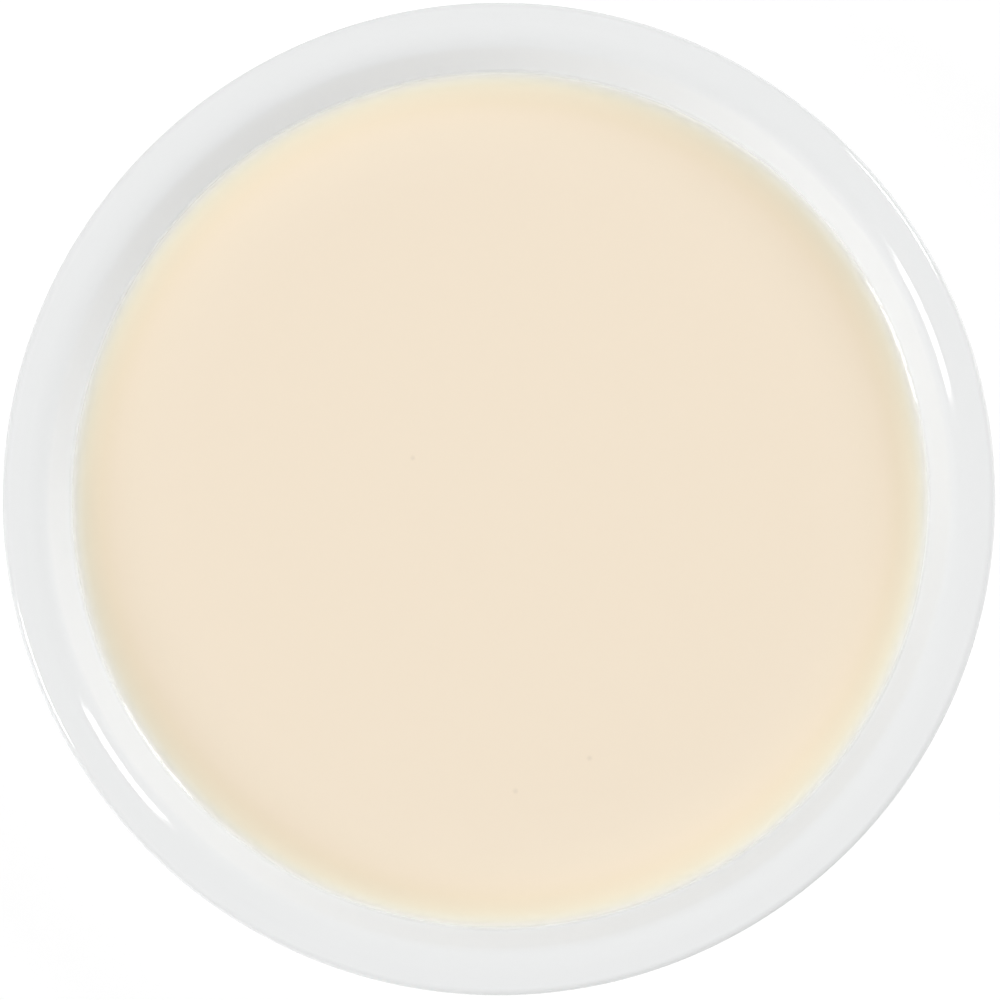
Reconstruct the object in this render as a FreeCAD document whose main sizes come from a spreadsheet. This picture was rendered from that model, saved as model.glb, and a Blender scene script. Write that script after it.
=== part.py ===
# A shallow porcelain dish of soy milk.
#
# The dish is one turned piece: a foot ring, a flat base, a wall that flares at a steady slope, and
# a thick lip with a small rounding outside and a wide one that rolls over into the wall. The soy
# milk fills it to a level below the lip and creeps a little way up the wall all round.
# Lengths are in millimetres and angles in degrees. +Z is up, and the origin is the middle of the
# ring that the dish stands on.
import FreeCAD, Part
import math
import os
import Sketcher

SIZES = {
    "rim_radius": 60.0,  # the dish at its widest, just under the top of the lip
    "dish_height": 30.0,
    "wall_angle": 60.0,  # the wall's slope, measured up from level
    "wall_thickness": 4.6,  # square to the wall
    "edge_rounding": 0.9,  # outer edge of the lip
    "lip_roll": 3.6,  # inner edge of the lip, where it turns down into the wall
    "base_thickness": 3.5,
    "inner_blend": 14.0,  # floor into wall, inside
    "outer_blend": 16.0,  # base into wall, outside
    "foot_height": 2.0,
    "foot_width": 3.0,
    "foot_ledge": 2.4,  # flat strip of base outside the foot ring
    "foot_rounding": 0.8,  # edges and roots of the foot ring
    "milk_below_rim": 5.8,  # from the top of the lip down to the level of the milk
    "creep_height": 0.75,  # how far the milk climbs the wall
    "creep_angle": 20.0,  # the slope of the milk where it meets the wall
}

# Radii and heights of the corners, before any edge is rounded, as expressions of the sizes.
OUTER_CORNER = "(Sizes.rim_radius + Sizes.edge_rounding * (1 / tan(Sizes.wall_angle / 2) - 1))"
SHOULDER = f"({OUTER_CORNER} - Sizes.wall_thickness / sin(Sizes.wall_angle))"
BASE = "Sizes.foot_height"
FLOOR = "(Sizes.foot_height + Sizes.base_thickness)"
LEVEL = "(Sizes.dish_height - Sizes.milk_below_rim)"
CREEP_TOP = f"({LEVEL} + Sizes.creep_height)"
CREEP_RADIUS = "(Sizes.creep_height / (1 - cos(Sizes.creep_angle)))"
AXIS = None
GROUND = None


def down_wall(top_radius, height):
    """The radius of a wall at a height, from its radius at the top of the dish."""
    return f"({top_radius} - (Sizes.dish_height - {height}) / tan(Sizes.wall_angle))"


BASE_CORNER = down_wall(OUTER_CORNER, BASE)
FLOOR_CORNER = down_wall(SHOULDER, FLOOR)
CREEP_END = down_wall(SHOULDER, CREEP_TOP)
CREEP_START = f"({CREEP_END} - {CREEP_RADIUS} * sin(Sizes.creep_angle))"
FOOT_OUTSIDE = f"({BASE_CORNER} - Sizes.outer_blend * tan(Sizes.wall_angle / 2) - Sizes.foot_ledge)"
FOOT_INSIDE = f"({FOOT_OUTSIDE} - Sizes.foot_width)"


def make_size_sheet(document):
    """List the sizes in a sheet, one to a row, each under its own alias."""
    sheet = document.addObject("Spreadsheet::Sheet", "Sizes")
    for row, (alias, value) in enumerate(SIZES.items(), start=1):
        sheet.set(f"A{row}", alias)
        sheet.set(f"B{row}", str(value))
        sheet.setAlias(f"B{row}", alias)
    document.recompute()
    return sheet


def measure(sheet, expression):
    """The value of an expression, where the axis or the ground is nought."""
    return 0.0 if expression is None else float(sheet.evalExpression(expression))


def hold_corner(sketch, edge, radius, height):
    """Fix the start of an edge at a radius and a height that follow the sizes."""
    origin_point = (-1, 1)
    ground_line, axis_line = -1, -2
    start = (edge, 1)
    for kind, expression, line in (("X", radius, axis_line), ("Y", height, ground_line)):
        if expression is None:
            sketch.addConstraint(Sketcher.Constraint("PointOnObject", *start, line))
            continue
        value = measure(sketch.Document.Sizes, expression)
        dimension = sketch.addConstraint(
            Sketcher.Constraint(f"Distance{kind}", *origin_point, *start, value)
        )
        sketch.setExpression(f"Constraints[{dimension}]", expression)


def draw_outline(body, corners, arcs=()):
    """Draw a closed half section in the upright plane of a body.

    corners are (radius, height) pairs, in order. arcs gives, for the number of each edge that is
    a hollow arc, its radius, and the slope that it turns through from level.
    """
    sheet = body.Document.Sizes
    upright = next(part for part in body.Origin.OriginFeatures if part.Role == "XZ_Plane")
    sketch = body.newObject("Sketcher::SketchObject", f"{body.Name}_outline")
    sketch.AttachmentSupport = [(upright, "")]
    sketch.MapMode = "FlatFace"
    points = [FreeCAD.Vector(measure(sheet, r), measure(sheet, z), 0) for r, z in corners]
    arcs = dict(arcs)
    for edge, start in enumerate(points):
        end = points[(edge + 1) % len(points)]
        if edge not in arcs:
            sketch.addGeometry(Part.LineSegment(start, end))
            continue
        radius, slope = (measure(sheet, expression) for expression in arcs[edge])
        centre = start + FreeCAD.Vector(0, radius, 0)
        from_below = -math.pi / 2
        circle = Part.Circle(centre, FreeCAD.Vector(0, 0, 1), radius)
        sketch.addGeometry(Part.ArcOfCircle(circle, from_below, from_below + math.radians(slope)))
    for edge, (radius, height) in enumerate(corners):
        following = (edge + 1) % len(corners)
        sketch.addConstraint(Sketcher.Constraint("Coincident", edge, 2, following, 1))
        hold_corner(sketch, edge, radius, height)
    for edge, (radius, _) in arcs.items():
        value = measure(sheet, radius)
        dimension = sketch.addConstraint(Sketcher.Constraint("Radius", edge, value))
        sketch.setExpression(f"Constraints[{dimension}]", radius)
    return sketch


def turn(body, sketch):
    """Revolve the half section all the way round the upright axis."""
    turned = body.newObject("PartDesign::Revolution", f"{body.Name}_turned")
    turned.Profile = sketch
    turned.ReferenceAxis = (sketch, ["V_Axis"])
    turned.Angle = 360
    body.Document.recompute()


def round_edges(body, name, radius_alias, corners):
    """Round the circular edges that stand at the given corners."""
    base = body.Tip
    edges = []
    for radius, height in corners:
        r, z = measure(body.Document.Sizes, radius), measure(body.Document.Sizes, height)
        for number, edge in enumerate(base.Shape.Edges, start=1):
            if not isinstance(edge.Curve, Part.Circle):
                continue
            if math.isclose(edge.Curve.Radius, r) and math.isclose(edge.Curve.Center.z, z, abs_tol=1e-7):
                edges.append(f"Edge{number}")
    if len(edges) != len(corners):
        raise RuntimeError(f"{name}: found {len(edges)} of {len(corners)} edges")
    rounding = body.newObject("PartDesign::Fillet", f"{body.Name}_{name}")
    rounding.Base = (base, edges)
    rounding.setExpression("Radius", f"Sizes.{radius_alias}")
    body.Document.recompute()


def make_body(document, label):
    body = document.addObject("PartDesign::Body", label)
    body.Label = label
    body.Placement = FreeCAD.Placement()
    return body


def make_dish(document):
    """The dish, from the underside outwards, up the outside, over the lip and down the inside."""
    dish = make_body(document, "dish")
    outline = draw_outline(
        dish,
        [
            (AXIS, BASE),
            (FOOT_INSIDE, BASE),
            (FOOT_INSIDE, GROUND),
            (FOOT_OUTSIDE, GROUND),
            (FOOT_OUTSIDE, BASE),
            (BASE_CORNER, BASE),
            (OUTER_CORNER, "Sizes.dish_height"),
            (SHOULDER, "Sizes.dish_height"),
            (FLOOR_CORNER, FLOOR),
            (AXIS, FLOOR),
        ],
    )
    turn(dish, outline)
    round_edges(dish, "outer_blend", "outer_blend", [(BASE_CORNER, BASE)])
    round_edges(dish, "inner_blend", "inner_blend", [(FLOOR_CORNER, FLOOR)])
    round_edges(dish, "lip_roll", "lip_roll", [(SHOULDER, "Sizes.dish_height")])
    round_edges(dish, "lip_edge", "edge_rounding", [(OUTER_CORNER, "Sizes.dish_height")])
    round_edges(dish, "foot_edges", "foot_rounding", [(FOOT_INSIDE, GROUND), (FOOT_OUTSIDE, GROUND)])
    round_edges(dish, "foot_roots", "foot_rounding", [(FOOT_INSIDE, BASE), (FOOT_OUTSIDE, BASE)])
    return dish


def make_soy_milk(document):
    """The soy milk, which fills the dish face to face and ends in a hollow curve up the wall."""
    soy_milk = make_body(document, "soy_milk")
    curved_edge = 3
    outline = draw_outline(
        soy_milk,
        [
            (FLOOR_CORNER, FLOOR),
            (AXIS, FLOOR),
            (AXIS, LEVEL),
            (CREEP_START, LEVEL),
            (CREEP_END, CREEP_TOP),
        ],
        arcs={curved_edge: (CREEP_RADIUS, "Sizes.creep_angle")},
    )
    turn(soy_milk, outline)
    round_edges(soy_milk, "floor_blend", "inner_blend", [(FLOOR_CORNER, FLOOR)])
    return soy_milk


def check(document, pieces):
    """Stop before anything is written if a feature failed or a piece isn't one sound solid."""
    for item in document.Objects:
        if "Invalid" in item.State or "Error" in item.State:
            raise RuntimeError(f"{item.Name} failed: {item.State}")
        if item.TypeId == "Sketcher::SketchObject" and not item.FullyConstrained:
            raise RuntimeError(f"{item.Name} is not fully held by its dimensions")
    for piece in pieces:
        shape = piece.Shape
        if shape.isNull() or not shape.isValid() or len(shape.Solids) != 1:
            raise RuntimeError(f"{piece.Label} is not one valid solid")


def main():
    document = FreeCAD.newDocument("dish_of_soy_milk")
    make_size_sheet(document)
    pieces = [make_dish(document), make_soy_milk(document)]
    document.recompute()
    check(document, pieces)
    os.makedirs("parts", exist_ok=True)
    for piece in pieces:
        piece.Shape.exportStep(f"parts/{piece.Label}.step")
        box = piece.Shape.optimalBoundingBox()
        print(
            f"{piece.Label}: {piece.Shape.Volume / 1000:.1f} cm3,"
            f" {box.XLength:.2f} x {box.YLength:.2f} x {box.ZLength:.2f} mm, top at {box.ZMax:.2f}"
        )


main()
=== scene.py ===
# %% [markdown]
# # A dish of soy milk
# A shallow, round dish of glazed white porcelain stands filled with soy milk to a little below its
# thick lip. Both pieces were made as solids elsewhere, at their real size, and packed. This file
# loads them as a fixed frame and gives them their looks: a smooth glazed dish, and a still, wet,
# cream-coloured milk that turns clear where it thins out against the wall.

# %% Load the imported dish
from math import cos, pi, radians, sin, tan

import bpy
from mathutils import Matrix, Vector


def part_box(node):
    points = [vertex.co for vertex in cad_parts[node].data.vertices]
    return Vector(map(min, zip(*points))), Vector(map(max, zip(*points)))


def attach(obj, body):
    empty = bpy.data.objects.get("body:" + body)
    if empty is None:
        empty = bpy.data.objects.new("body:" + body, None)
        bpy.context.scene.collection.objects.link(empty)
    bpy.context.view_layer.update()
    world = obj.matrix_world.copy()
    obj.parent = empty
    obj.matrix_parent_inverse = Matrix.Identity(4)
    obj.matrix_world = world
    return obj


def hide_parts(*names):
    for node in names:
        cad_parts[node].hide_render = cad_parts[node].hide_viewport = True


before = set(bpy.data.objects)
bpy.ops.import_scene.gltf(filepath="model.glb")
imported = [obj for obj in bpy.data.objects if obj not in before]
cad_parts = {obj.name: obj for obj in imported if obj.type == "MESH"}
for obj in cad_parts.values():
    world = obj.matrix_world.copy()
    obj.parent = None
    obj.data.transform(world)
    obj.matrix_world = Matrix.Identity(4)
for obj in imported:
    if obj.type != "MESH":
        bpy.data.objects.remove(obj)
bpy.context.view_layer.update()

MM = 0.001
print("nodes:", sorted(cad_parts))

# %% [markdown]
# ## Sizes
# The lip's radius, the dish's height and the line where the milk ends on the wall are measured on
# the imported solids, so the pieces made here land exactly on them. The curves in between can't be
# read off a box, so the few sizes of the template that shaped the solids are named here again.

# %% Measure the frame and name the template's sizes
rim_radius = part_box("dish")[1].x
dish_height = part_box("dish")[1].z
creep_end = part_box("soy_milk")[1].x
creep_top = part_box("soy_milk")[1].z

WALL_SLOPE = radians(60)
WALL_THICKNESS = 4.6 * MM
EDGE_ROUNDING = 0.9 * MM
LIP_ROLL = 3.6 * MM
BASE_THICKNESS = 3.5 * MM
INNER_BLEND = 14 * MM
OUTER_BLEND = 16 * MM
FOOT_HEIGHT = 2 * MM
FOOT_WIDTH = 3 * MM
FOOT_LEDGE = 2.4 * MM
FOOT_ROUNDING = 0.8 * MM
CREEP_HEIGHT = 0.75 * MM

milk_level = creep_top - CREEP_HEIGHT
print(f"rim {rim_radius / MM:.1f} mm, height {dish_height / MM:.1f} mm, milk at {milk_level / MM:.1f} mm")

# %% [markdown]
# ## The potter's template
# A turned piece is one half outline swept round its axis. The outline could be a list of many
# points, but a template is cut as straight runs between corners, and each corner is then rounded by
# an arc of its own radius. So that is how it is drawn here. Long runs are divided too, which keeps
# the shading true along them.

# %% Round the corners of an outline
ARC_STEP = radians(4)
RUN_STEP = 3 * MM
POLE_RADIUS = 0.5 * MM


def divided(stations):
    """The same stations, with more of them along every long straight run."""
    closer = [stations[0]]
    for start, end in zip(stations, stations[1:]):
        pieces = max(1, round((end - start).length / RUN_STEP))
        closer += [start.lerp(end, step / pieces) for step in range(1, pieces + 1)]
    return closer


def rounded(corners):
    """Stations along straight runs between corners (radius, height, rounding), with arcs at them."""
    stations = []
    for place, (r, z, rounding) in enumerate(corners):
        corner = Vector((r, z))
        if rounding == 0:
            stations.append(corner)
            continue
        before = (Vector(corners[place - 1][:2]) - corner).normalized()
        after = (Vector(corners[place + 1][:2]) - corner).normalized()
        half = before.angle(after) / 2
        centre = corner + (before + after).normalized() * rounding / sin(half)
        reach = rounding / tan(half)
        first = corner + before * reach - centre
        last = corner + after * reach - centre
        turn = abs(first.angle_signed(last))
        steps = max(2, round(turn / ARC_STEP))
        for step in range(steps + 1):
            share = step / steps
            blend = first * sin((1 - share) * turn) + last * sin(share * turn)
            stations.append(centre + blend / sin(turn))
    return divided(stations)


# %% [markdown]
# ## The wheel
# On a wheel the clay turns while the template stands still. Blender's Spin tool could sweep the
# outline like that, but it leaves a seam to weld. Here a small disc is added at the pole instead,
# and its open edge is extruded from station to station and scaled about the axis each time, so the
# ring of faces is closed from the start. The last ring is merged to a point, which closes the other
# pole.

# %% Sweep an outline round the axis
TURN_STEPS = 288


def turned(name, stations):
    """Extrude a ring of vertices from station to station, with a closed pole at each end."""
    bpy.ops.object.select_all(action="DESELECT")
    (radius, height), *others = stations
    bpy.ops.mesh.primitive_circle_add(
        vertices=TURN_STEPS, radius=radius, fill_type="TRIFAN", location=(0, 0, height)
    )
    piece = bpy.context.object
    piece.name = name
    bpy.ops.object.transform_apply(location=True)
    bpy.ops.object.mode_set(mode="EDIT")
    bpy.ops.mesh.select_mode(type="EDGE")
    bpy.ops.mesh.select_all(action="DESELECT")
    bpy.ops.mesh.select_non_manifold()
    for new_radius, new_height in others:
        bpy.ops.mesh.extrude_edges_move(TRANSFORM_OT_translate={"value": (0, 0, new_height - height)})
        scale = new_radius / radius
        bpy.ops.transform.resize(value=(scale, scale, 1), center_override=(0, 0, 0))
        radius, height = new_radius, new_height
    bpy.ops.mesh.extrude_edges_move()
    bpy.ops.mesh.merge(type="CENTER")
    bpy.ops.mesh.select_all(action="SELECT")
    bpy.ops.mesh.normals_make_consistent(inside=False)
    bpy.ops.object.mode_set(mode="OBJECT")
    bpy.ops.object.shade_smooth()
    print(f"{name}: {len(stations)} stations, {len(piece.data.polygons)} faces")
    return piece


# %% [markdown]
# ## The dish
# The real dish is thick porcelain, pressed over a turning mould, then glazed all over except for
# the edge that it stands on. Its lip is flat on top, hardly rounded outside, and rolls over inside.
# Foot, wall and lip could be made apart and joined, but the one outline that shaped the solid gives
# all of them at once, with no seam. Its corners are worked out first, then it is swept.

# %% Work out the dish's corners
outer_corner = rim_radius + EDGE_ROUNDING * (1 / tan(WALL_SLOPE / 2) - 1)
shoulder = outer_corner - WALL_THICKNESS / sin(WALL_SLOPE)
floor_height = FOOT_HEIGHT + BASE_THICKNESS


def down_wall(top_radius, height):
    """The radius of a wall at a height, from its radius at the top of the dish."""
    return top_radius - (dish_height - height) / tan(WALL_SLOPE)


base_corner = down_wall(outer_corner, FOOT_HEIGHT)
floor_corner = down_wall(shoulder, floor_height)
foot_outside = base_corner - OUTER_BLEND * tan(WALL_SLOPE / 2) - FOOT_LEDGE
foot_inside = foot_outside - FOOT_WIDTH
print(f"foot ring {2 * foot_outside / MM:.1f} mm across, lip {(rim_radius - shoulder) / MM:.1f} mm wide")

# %% Turn the dish
dish = turned(
    "porcelain_dish",
    rounded(
        [
            (POLE_RADIUS, FOOT_HEIGHT, 0),
            (foot_inside, FOOT_HEIGHT, FOOT_ROUNDING),
            (foot_inside, 0, FOOT_ROUNDING),
            (foot_outside, 0, FOOT_ROUNDING),
            (foot_outside, FOOT_HEIGHT, FOOT_ROUNDING),
            (base_corner, FOOT_HEIGHT, OUTER_BLEND),
            (outer_corner, dish_height, EDGE_ROUNDING),
            (shoulder, dish_height, LIP_ROLL),
            (floor_corner, floor_height, INNER_BLEND),
            (POLE_RADIUS, floor_height, 0),
        ]
    ),
)

# %% [markdown]
# ## The soy milk
# The milk is level except at its edge, where it creeps up the wall: first in a long hollow curve,
# then in a short steep one, the wet bead that catches the light as a thread. It could be a flat disc
# with a bump at its edge, but then the thread of light would have nothing to sit on, so the curves
# are turned like the dish. The hidden sides reach a little way into the porcelain, so no gap shows.

# %% Work out the milk's edge
SOAK = 0.4 * MM
SWEEP_SLOPE = radians(13)
BEAD_SLOPE = radians(42)
BEAD_RADIUS = 1.7 * MM
SWEEP_STEPS = 10
BEAD_STEPS = 16

bead_height = BEAD_RADIUS * (cos(SWEEP_SLOPE) - cos(BEAD_SLOPE))
bead_start = creep_end - BEAD_RADIUS * (sin(BEAD_SLOPE) - sin(SWEEP_SLOPE))
sweep_radius = (creep_top - bead_height - milk_level) / (1 - cos(SWEEP_SLOPE))
creep_start = bead_start - sweep_radius * sin(SWEEP_SLOPE)
soaked_end = creep_end + SOAK
soaked_top = creep_top + SOAK * tan(BEAD_SLOPE)
wall_foot = soaked_end - (soaked_top - floor_height + SOAK) / tan(WALL_SLOPE)


def hollow_curve(start, radius, first_slope, last_slope, steps):
    """Stations down a hollow arc that starts at a station, from its first slope to its last."""
    centre = start + Vector((-radius * sin(first_slope), radius * cos(first_slope)))
    slopes = [first_slope + (last_slope - first_slope) * step / steps for step in range(steps + 1)]
    return [centre + Vector((radius * sin(slope), -radius * cos(slope))) for slope in slopes]


bead = hollow_curve(Vector((creep_end, creep_top)), BEAD_RADIUS, BEAD_SLOPE, SWEEP_SLOPE, BEAD_STEPS)
sweep = hollow_curve(bead[-1], sweep_radius, SWEEP_SLOPE, 0, SWEEP_STEPS)
print(f"the milk starts to climb {(creep_end - creep_start) / MM:.2f} mm from the wall")

# %% Turn the soy milk
hidden_side = rounded(
    [
        (POLE_RADIUS, floor_height - SOAK, 0),
        (wall_foot, floor_height - SOAK, INNER_BLEND),
        (soaked_end, soaked_top, 0),
    ]
)
level = divided([sweep[-1], Vector((POLE_RADIUS, milk_level))])
milk = turned("soy_milk_surface", hidden_side + bead + sweep[1:] + level[1:])

# %% [markdown]
# Milk doesn't end on a perfect circle: where it was poured and tilted it clings a hair higher here
# and lower there. Each point could be nudged by hand, but a Displace modifier with a cloudy texture
# does it all round. It raises and lowers only the creeping edge, by a vertex group that is weighted
# from nothing on the level milk to full at the wall.

# %% Mark the creeping edge
creeping = milk.vertex_groups.new(name="creeping")
for vertex in milk.data.vertices:
    radius = vertex.co.xy.length
    share = (radius - creep_start) / (creep_end - creep_start)
    if vertex.co.z > milk_level - SOAK and share > 0:
        creeping.add([vertex.index], min(share, 1), "REPLACE")
print(f"{creeping.name}: from {creep_start / MM:.1f} mm out to {creep_end / MM:.1f} mm")

# %% Let the edge wander
WANDER = 0.1 * MM
WANDER_SCALE = 9 * MM
ON_THE_EDGE = 0.01 * MM

bpy.ops.object.select_all(action="DESELECT")
bpy.context.view_layer.objects.active = milk
milk.select_set(True)
clouds = bpy.data.textures.new("edge_wander", "CLOUDS")
clouds.noise_scale = WANDER_SCALE
clouds.noise_depth = 0
bpy.ops.object.modifier_add(type="DISPLACE")
wander = milk.modifiers[-1]
wander.texture = clouds
wander.texture_coords = "LOCAL"
wander.direction = "Z"
wander.strength = WANDER
wander.vertex_group = creeping.name
bpy.ops.object.modifier_apply(modifier=wander.name)
edge_heights = [v.co.z for v in milk.data.vertices if abs(v.co.xy.length - creep_end) < ON_THE_EDGE]
print(f"edge wanders over {(max(edge_heights) - min(edge_heights)) / MM:.2f} mm")

# %% [markdown]
# ## Materials
# Colours are written as sRGB hex values and turned to the linear values that light needs. Nodes
# could be placed by hand in the editor, but written down they can be read and made again, so one
# small function adds a node with its settings and links. A Mix node has sockets for each kind of
# data, told apart by number: input 0 is the share, 2 and 3 are two numbers, and 6 and 7 are two
# colours; output 0 is the mixed number and output 2 the mixed colour.

# %% Colours and nodes
def linear(hex_colour):
    """The linear red, green, blue and alpha of an sRGB hex colour."""
    channels = [int(hex_colour[place : place + 2], 16) / 255 for place in (1, 3, 5)]
    return [c / 12.92 if c <= 0.04045 else ((c + 0.055) / 1.055) ** 2.4 for c in channels] + [1]


def add_node(tree, kind, values=(), links=(), **settings):
    """Add a node, set its attributes and socket values, and link sockets to other nodes' outputs."""
    node = tree.nodes.new(kind)
    for name, value in settings.items():
        setattr(node, name, value)
    for socket, value in dict(values).items():
        node.inputs[socket].default_value = value
    for socket, source in dict(links).items():
        tree.links.new(source, node.inputs[socket])
    return node


def new_material(name):
    """A node material with only an output, its node tree and that output."""
    material = bpy.data.materials.new(name)
    material.use_nodes = True
    material.node_tree.nodes.clear()
    return material, material.node_tree, material.node_tree.nodes.new("ShaderNodeOutputMaterial")


# %% [markdown]
# ### Glazed porcelain
# Hard porcelain, pressed, fired and dipped in a clear glaze that melts to glass. The eye gets a
# slightly cool white with sharp, bright highlights. It could be a matt white under a clear coat,
# but one glossy shader already stands for clear glass over a white body. Glaze never lies perfectly
# even, so a faint swell a few millimetres long bends the highlights a little. The edge of the foot
# ring was wiped before firing, so near height nought it is bare, matt and a shade warmer.

# %% Glazed porcelain
GLAZE_SWELL = 7 * MM
GLAZE_SWELL_DEPTH = 0.012 * MM
BARE_HEIGHT = 0.25 * MM
GLAZED_HEIGHT = 0.45 * MM
GLAZE_COLOUR = "#ECEDED"
BARE_COLOUR = "#E6E1D6"
GLAZE_ROUGHNESS = 0.08
BARE_ROUGHNESS = 0.65
GLAZE_IOR = 1.5


def glazed_porcelain():
    """Cool white glaze that mirrors light sharply, and a bare, matt, warmer edge to stand on."""
    material, tree, output = new_material("glazed_porcelain")
    place = add_node(tree, "ShaderNodeTexCoord")
    split = add_node(tree, "ShaderNodeSeparateXYZ", links={0: place.outputs["Object"]})
    glazed = add_node(
        tree,
        "ShaderNodeMapRange",
        {"From Min": BARE_HEIGHT, "From Max": GLAZED_HEIGHT},
        {"Value": split.outputs["Z"]},
        interpolation_type="SMOOTHSTEP",
    )
    colour = add_node(
        tree,
        "ShaderNodeMix",
        {6: linear(BARE_COLOUR), 7: linear(GLAZE_COLOUR)},
        {0: glazed.outputs["Result"]},
        data_type="RGBA",
    )
    roughness = add_node(
        tree,
        "ShaderNodeMapRange",
        {"To Min": BARE_ROUGHNESS, "To Max": GLAZE_ROUGHNESS},
        {"Value": glazed.outputs["Result"]},
    )
    swell = add_node(
        tree,
        "ShaderNodeTexNoise",
        {"Scale": 1 / GLAZE_SWELL, "Detail": 1.0},
        {"Vector": place.outputs["Object"]},
    )
    bump = add_node(
        tree,
        "ShaderNodeBump",
        {"Strength": 1.0, "Distance": GLAZE_SWELL_DEPTH},
        {"Height": swell.outputs["Fac"]},
    )
    shader = add_node(
        tree,
        "ShaderNodeBsdfPrincipled",
        {"IOR": GLAZE_IOR},
        {
            "Base Color": colour.outputs[2],
            "Roughness": roughness.outputs["Result"],
            "Normal": bump.outputs["Normal"],
        },
    )
    tree.links.new(shader.outputs["BSDF"], output.inputs["Surface"])
    return material


dish.data.materials.append(glazed_porcelain())
print(f"{dish.name}: {dish.data.materials[0].name}")

# %% [markdown]
# ### Soy milk
# Soy milk is water full of tiny drops and grains, so light scatters inside it and comes back
# cream-coloured. Light that spreads sideways under the lip's shadow makes it warmer there. That
# warmth is not traced but painted into the colour as painted shade, a warmer ring at that depth all
# round. Over the last few millimetres the milk turns paler, and at last clear against the white
# wall. The scattering could be traced, but that is slow and darkens the milk's edge. Depth is what
# decides the look, so the material works it out: the height above the wall's line at the same radius.

# %% How deep the milk is
def depth_of_milk(tree, height, radius):
    """The milk's depth over the sloping wall, or nought where it has none."""
    wall_height = add_node(
        tree,
        "ShaderNodeMath",
        {1: tan(WALL_SLOPE), 2: creep_top - creep_end * tan(WALL_SLOPE)},
        {0: radius},
        operation="MULTIPLY_ADD",
    )
    above_wall = add_node(
        tree, "ShaderNodeMath", links={0: height, 1: wall_height.outputs[0]}, operation="SUBTRACT"
    )
    depth = add_node(tree, "ShaderNodeMath", {1: 0}, {0: above_wall.outputs[0]}, operation="MAXIMUM")
    return depth.outputs[0]


# %% [markdown]
# Each tint belongs to a depth in millimetres. At the edge it is pale and nearly clear, and lifted a
# little there as painted light against the shade near the wall. It is warmest at the depth where the
# lip's shadow falls, a painted warm shade that runs all round, and plain cream from there to the
# middle. A few faint specks of soy skin float on the milk, each with its place and radius in
# millimetres, and each fades out from its middle. They could be small solid flakes, but they are too
# thin to stand up, so they are only spots of colour.

# %% The milk's colour, with painted shade
TINT_DEPTH = 24 * MM
# The palest tints are partly thin milk over white and partly painted light against the shade near the
# wall. The warmer tints from about 4 to 9 mm deep are painted shade for the lip's warm shadow.
DEPTH_TINTS_AND_PAINTED_SHADE = [
    (0, "#F8F4E4"),
    (1.5, "#F8F1D9"),
    (2.7, "#F8EDD2"),
    (4.2, "#F8EACF"),
    (6.2, "#F9E9CE"),
    (9, "#F9E9D1"),
    (12, "#F7E8D1"),
    (17, "#F5E6D0"),
    (24, "#F4E5CF"),
]
SPECKS = [((2, -35.5), 0.5), ((11, -31.5), 0.5), ((-10.5, 5), 0.45)]
SPECK_COLOUR = "#EADBC6"


def milk_colour_and_painted_shade(tree, depth, flat_place):
    """The tint that belongs to the depth, painted shade included, with the specks on top."""
    share = add_node(tree, "ShaderNodeMath", {1: TINT_DEPTH}, {0: depth}, operation="DIVIDE")
    shaded_tint = add_node(tree, "ShaderNodeValToRGB", links={0: share.outputs[0]})
    ramp = shaded_tint.color_ramp
    for (tint_depth, colour), element in zip(DEPTH_TINTS_AND_PAINTED_SHADE[:2], ramp.elements):
        element.position = tint_depth * MM / TINT_DEPTH
        element.color = linear(colour)
    for tint_depth, colour in DEPTH_TINTS_AND_PAINTED_SHADE[2:]:
        ramp.elements.new(tint_depth * MM / TINT_DEPTH).color = linear(colour)

    mixed = shaded_tint.outputs["Color"]
    for (x, y), size in SPECKS:
        middle = (x * MM, y * MM, 0)
        distance = add_node(
            tree, "ShaderNodeVectorMath", {1: middle}, {0: flat_place}, operation="DISTANCE"
        )
        speck = add_node(
            tree,
            "ShaderNodeMapRange",
            {"From Min": size * MM, "From Max": 0},
            {"Value": distance.outputs["Value"]},
            interpolation_type="SMOOTHSTEP",
        )
        mixed = add_node(
            tree,
            "ShaderNodeMix",
            {7: linear(SPECK_COLOUR)},
            {0: speck.outputs["Result"], 6: mixed},
            data_type="RGBA",
        ).outputs[2]
    return mixed


# %% [markdown]
# How much the milk hides of the wall grows with depth as in any cloudy liquid, by an exponential.
# Its surface has the gloss of water. The steep bead at the edge mirrors light more strongly, so a
# thin clear coat is laid over it, which fades out with depth in the same way. Light passes through
# the thin edge to the wall below, so the milk casts no shadow, and scattered light passes it by.

# %% Soy milk
CLEAR_DEPTH = 1.2 * MM
RIDGE_DEPTH = 0.7 * MM
MILK_GLOSS = {"Roughness": 0.04, "IOR": 1.35}
RIDGE_GLOSS = {"Coat Roughness": 0.03, "Coat IOR": 1.7}


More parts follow.
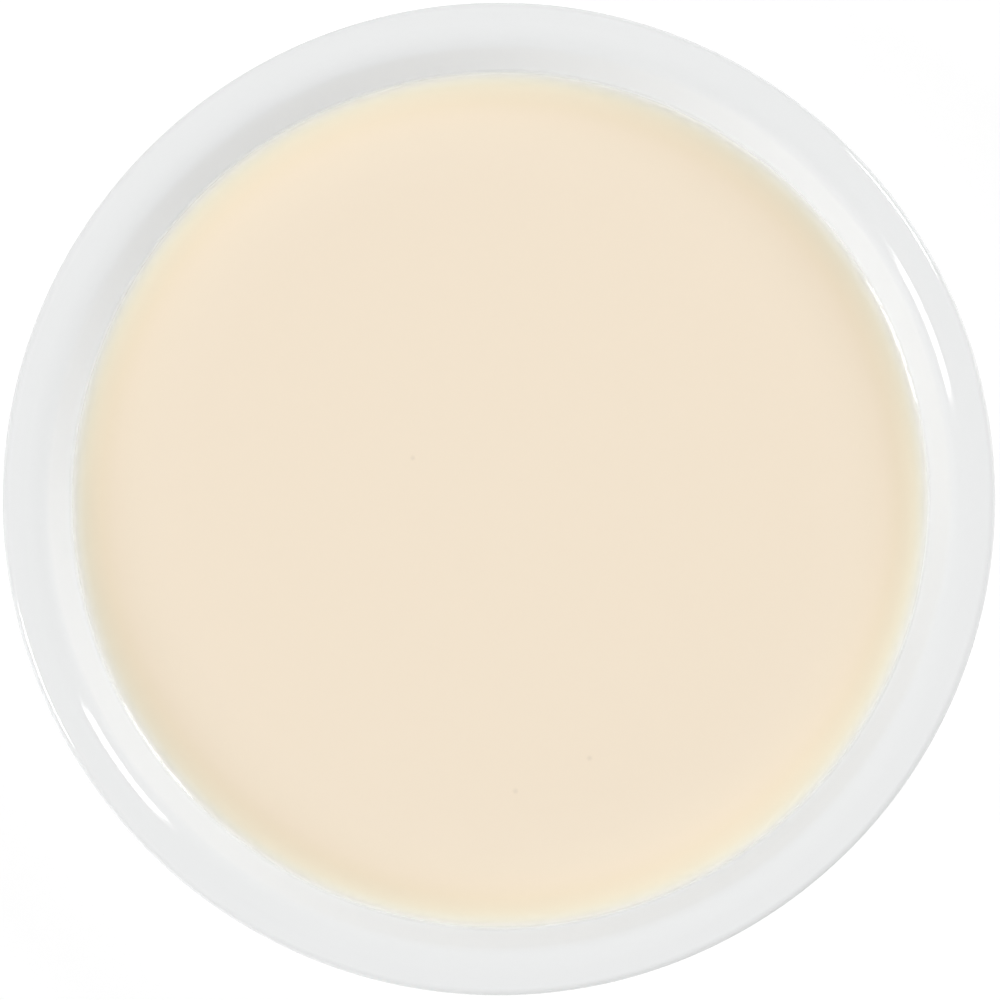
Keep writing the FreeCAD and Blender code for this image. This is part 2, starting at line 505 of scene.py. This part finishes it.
def soy_milk():
    """Glossy cream liquid that turns clear where it is shallow, with a few faint specks."""
    material, tree, output = new_material("creamy_soy_milk")
    place = add_node(tree, "ShaderNodeTexCoord").outputs["Object"]
    height = add_node(tree, "ShaderNodeSeparateXYZ", links={0: place}).outputs["Z"]
    flat = add_node(tree, "ShaderNodeVectorMath", {1: (1, 1, 0)}, {0: place}, operation="MULTIPLY")
    flat_place = flat.outputs[0]
    radius = add_node(tree, "ShaderNodeVectorMath", links={0: flat_place}, operation="LENGTH")
    depth = depth_of_milk(tree, height, radius.outputs["Value"])

    fading = add_node(tree, "ShaderNodeMath", {1: -1 / CLEAR_DEPTH}, {0: depth}, operation="MULTIPLY")
    clear = add_node(tree, "ShaderNodeMath", links={0: fading.outputs[0]}, operation="EXPONENT")
    cover = add_node(tree, "ShaderNodeMath", {0: 1}, {1: clear.outputs[0]}, operation="SUBTRACT")
    falling = add_node(tree, "ShaderNodeMath", {1: -1 / RIDGE_DEPTH}, {0: depth}, operation="MULTIPLY")
    ridge = add_node(tree, "ShaderNodeMath", links={0: falling.outputs[0]}, operation="EXPONENT")

    shader = add_node(
        tree,
        "ShaderNodeBsdfPrincipled",
        {**MILK_GLOSS, **RIDGE_GLOSS},
        {
            "Base Color": milk_colour_and_painted_shade(tree, depth, flat_place),
            "Alpha": cover.outputs[0],
            "Coat Weight": ridge.outputs[0],
        },
    )
    tree.links.new(shader.outputs["BSDF"], output.inputs["Surface"])
    return material


milk.data.materials.append(soy_milk())
milk.visible_shadow = False
milk.visible_diffuse = False
print(f"{milk.name}: {milk.data.materials[0].name}, {len(DEPTH_TINTS_AND_PAINTED_SHADE)} tints, {len(SPECKS)} specks")

# %% [markdown]
# ## Ride and replace
# Nothing on the dish moves, so both pieces ride on the one body. Each could be shown beside the
# solid of the same shape, but two equal surfaces would flicker into each other, so it stands for
# that solid, which stays behind for weight and touch.

# %% Tie the pieces to the frame
for piece, node, slot in ((dish, "dish", "porcelain"), (milk, "soy_milk", "soy_milk")):
    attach(piece, "root")
    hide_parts(node)
    print(f"{piece.name} stands for {node}")

# %% [markdown]
# ## Table
# A plain pale sheet. Lit paper never reaches pure white by itself, so the camera, and what mirrors
# or lets light through, is also given a plain white glow there, with enough of the paper left in it
# to keep the dish's shadow. The paper itself is a very light grey, so that it doesn't light the lip
# from below as strongly as white would, and the lip's edge stays a shade darker than the table.

# %% Tell direct sight from scattered light
def seen_directly(tree):
    """One for a ray from the camera, a reflection or through glass, and nought for scattered light."""
    rays = add_node(tree, "ShaderNodeLightPath").outputs
    indirect = {0: rays["Is Glossy Ray"], 1: rays["Is Transmission Ray"]}
    mirrored = add_node(tree, "ShaderNodeMath", links=indirect, operation="MAXIMUM").outputs[0]
    every = {0: rays["Is Camera Ray"], 1: mirrored}
    return add_node(tree, "ShaderNodeMath", links=every, operation="MAXIMUM").outputs[0]


# %% Lay the table
TABLE_SIZE = 4
PAPER_COLOUR = "#D2D2D2"
GLOW_COLOUR = "#FFFFFF"
GLOW_SHARE = 0.7
GLOW_STRENGTH = 1.24

bpy.ops.object.select_all(action="DESELECT")
bpy.ops.mesh.primitive_plane_add(size=TABLE_SIZE, location=(0, 0, 0))
table = bpy.context.object
table.name = "table"
paper, tree, output = new_material("pale_paper")
sheet = add_node(tree, "ShaderNodeBsdfDiffuse", {"Color": linear(PAPER_COLOUR)})
glow = add_node(tree, "ShaderNodeEmission", {"Color": linear(GLOW_COLOUR), "Strength": GLOW_STRENGTH})
share = add_node(tree, "ShaderNodeMath", {1: GLOW_SHARE}, {0: seen_directly(tree)}, operation="MULTIPLY")
sources = {0: share.outputs[0], 1: sheet.outputs[0], 2: glow.outputs[0]}
both = add_node(tree, "ShaderNodeMixShader", links=sources)
tree.links.new(both.outputs[0], output.inputs["Surface"])
table.data.materials.append(paper)
print(f"{table.name}: {TABLE_SIZE} m square")

# %% [markdown]
# ## Camera
# The camera hangs almost straight above the dish, so the round lip fills the picture, and leans a
# few degrees to one side, which moves the milk a hair within the lip. An orthographic camera would
# be simpler, but a lens shows what lies lower a little smaller, as the eye sees it. It is a long
# lens, far enough away to keep the lip round.

# %% Hang the camera
CAMERA_DISTANCE = 0.7
CAMERA_TILT = radians(3)
CAMERA_SIDE = radians(-45)
PICTURE_WIDTH = 120.65 * MM
LOOK_AT = Vector((0.345 * MM, -0.34 * MM, dish_height))

bpy.ops.object.camera_add()
camera = bpy.context.object
camera.name = "overhead"
lean = Vector((cos(CAMERA_SIDE), sin(CAMERA_SIDE), 0))
towards = lean * sin(CAMERA_TILT) + Vector((0, 0, cos(CAMERA_TILT)))
right = Vector((0, 1, 0)).cross(towards).normalized()
camera.location = LOOK_AT + towards * CAMERA_DISTANCE
camera.rotation_euler = Matrix((right, towards.cross(right), towards)).transposed().to_euler()
camera.data.lens = camera.data.sensor_width * CAMERA_DISTANCE / PICTURE_WIDTH
bpy.context.scene.camera = camera
print(f"camera {CAMERA_DISTANCE} m away, {camera.data.lens:.0f} mm lens")

# %% [markdown]
# ## Light
# Two upright softboxes stand left and right of the table, tall and narrow. They give the long thin
# highlights on the lip and at the milk's edge, and the soft shadows that the lip drops on the milk.
# An even sky alone could light the milk as brightly, but it would leave no highlight.

# %% Stand up the softboxes
SOFTBOX_DISTANCE = 1.0
SOFTBOX_SPREAD = radians(16)
SOFTBOX_LOWEST = radians(36)
SOFTBOX_HIGHEST = radians(56.5)
LEFT_SIDE = radians(197.5)
LEFT_STRENGTH = 16
RIGHT_SIDE = radians(40)
RIGHT_STRENGTH = 15.3


def softbox(name, side, strength):
    """A softbox that stands upright beside the table, turned to the dish."""
    low = SOFTBOX_DISTANCE * tan(SOFTBOX_LOWEST)
    high = SOFTBOX_DISTANCE * tan(SOFTBOX_HIGHEST)
    bpy.ops.object.light_add(type="AREA")
    lamp = bpy.context.object
    lamp.name = name
    lamp.data.shape = "RECTANGLE"
    lamp.data.size = 2 * SOFTBOX_DISTANCE * tan(SOFTBOX_SPREAD / 2)
    lamp.data.size_y = high - low
    lamp.data.energy = strength * lamp.data.size * lamp.data.size_y * pi
    outwards = Vector((cos(side), sin(side), 0))
    lamp.location = outwards * SOFTBOX_DISTANCE + Vector((0, 0, dish_height + (low + high) / 2))
    lamp.rotation_euler = outwards.to_track_quat("Z", "Y").to_euler()
    print(f"{name}: {lamp.data.size:.2f} x {lamp.data.size_y:.2f} m, {lamp.data.energy:.1f} W")


softbox("left_softbox", LEFT_SIDE, LEFT_STRENGTH)
softbox("right_softbox", RIGHT_SIDE, RIGHT_STRENGTH)

# %% [markdown]
# ### The room
# The rest of the light is the room's. A panorama of a real room could give it, but a few smooth
# steps of height and direction do it and stay plain. Low light comes in from pale walls all round,
# a little brighter in front, and overhead it is dark.

# %% Light from the room's walls
ROOM_COLOUR = "#FFFFFF"
ROOM_STRENGTH = 0.87
ROOM_TOP = sin(radians(37))
ROOM_FULL = sin(radians(12))
FRONT = (cos(radians(300)), sin(radians(300)), 0)
FRONT_SHARE = 0.2

world = bpy.data.worlds.new("room")
world.use_nodes = True
bpy.context.scene.world = world
tree = world.node_tree
tree.nodes.clear()
way = add_node(tree, "ShaderNodeTexCoord").outputs["Generated"]
up = add_node(tree, "ShaderNodeSeparateXYZ", links={0: way}).outputs["Z"]

wall_light = add_node(
    tree,
    "ShaderNodeMapRange",
    {"From Min": ROOM_TOP, "From Max": ROOM_FULL, "To Max": ROOM_STRENGTH},
    {"Value": up},
    interpolation_type="SMOOTHSTEP",
)
to_front = add_node(tree, "ShaderNodeVectorMath", {1: FRONT}, {0: way}, operation="DOT_PRODUCT")
front_share = add_node(
    tree,
    "ShaderNodeMath",
    {1: FRONT_SHARE, 2: 1},
    {0: to_front.outputs["Value"]},
    operation="MULTIPLY_ADD",
)
wall_parts = {0: wall_light.outputs[0], 1: front_share.outputs[0]}
walls = add_node(tree, "ShaderNodeMath", links=wall_parts, operation="MULTIPLY")
print(f"wall light {ROOM_STRENGTH}, up to {(1 + FRONT_SHARE) * ROOM_STRENGTH:.2f} in front")

# %% [markdown]
# ### The windows
# Two windows, right and left, add a band of light that is strongest between 25 and 30 degrees up
# and a little stronger towards the back. They could be two more lamps, but a band with soft edges
# leaves no edge of its own on the milk. Each pair is a height in degrees and its share of light.

# %% Light from the windows
WINDOWS = (cos(radians(30)), sin(radians(30)), 0)
WINDOW_STRENGTH = 7.15
WINDOW_FOCUS = 4
BACK = (cos(radians(125)), sin(radians(125)), 0)
BACK_SHARE = 0.17
WINDOW_EDGES = [(15, 0), (25, 1), (30, 1), (41, 0)]

to_window = add_node(tree, "ShaderNodeVectorMath", {1: WINDOWS}, {0: way}, operation="DOT_PRODUCT")
window_shape = add_node(
    tree, "ShaderNodeMath", {1: WINDOW_FOCUS}, {0: to_window.outputs["Value"]}, operation="POWER"
)
to_back = add_node(tree, "ShaderNodeVectorMath", {1: BACK}, {0: way}, operation="DOT_PRODUCT")
back_share = add_node(
    tree,
    "ShaderNodeMath",
    {1: BACK_SHARE, 2: 1},
    {0: to_back.outputs["Value"]},
    operation="MULTIPLY_ADD",
)
window_shares = add_node(
    tree,
    "ShaderNodeMath",
    links={0: window_shape.outputs[0], 1: back_share.outputs[0]},
    operation="MULTIPLY",
)
window_band = add_node(tree, "ShaderNodeValToRGB", links={0: up})
window_band.color_ramp.interpolation = "EASE"
for number, (elevation, light) in enumerate(WINDOW_EDGES):
    if number > 1:
        window_band.color_ramp.elements.new(1)
    edge = window_band.color_ramp.elements[number]
    edge.position = sin(radians(elevation))
    edge.color = (light, light, light, 1)
band_light = add_node(
    tree, "ShaderNodeMath", {1: WINDOW_STRENGTH}, {0: window_band.outputs[0]}, operation="MULTIPLY"
)
print(f"window light {WINDOW_STRENGTH}, leaning {BACK_SHARE:.0%} to the back")

# %% [markdown]
# Walls and windows are added up for scattered light. The camera, and anything that mirrors or lets
# light through, sees plain white instead, as in a white studio.

# %% Finish the world
scattered = add_node(
    tree,
    "ShaderNodeMath",
    links={0: window_shares.outputs[0], 1: band_light.outputs[0], 2: walls.outputs[0]},
    operation="MULTIPLY_ADD",
)
strength = add_node(
    tree, "ShaderNodeMix", {3: 1}, {0: seen_directly(tree), 2: scattered.outputs[0]}, data_type="FLOAT"
)
sky = add_node(
    tree, "ShaderNodeBackground", {"Color": linear(ROOM_COLOUR)}, {"Strength": strength.outputs[0]}
)
add_node(tree, "ShaderNodeOutputWorld", links={"Surface": sky.outputs[0]})
bpy.context.scene.view_settings.view_transform = "Standard"
print(f"{world.name}: {len(tree.nodes)} nodes, {bpy.context.scene.view_settings.view_transform} view")
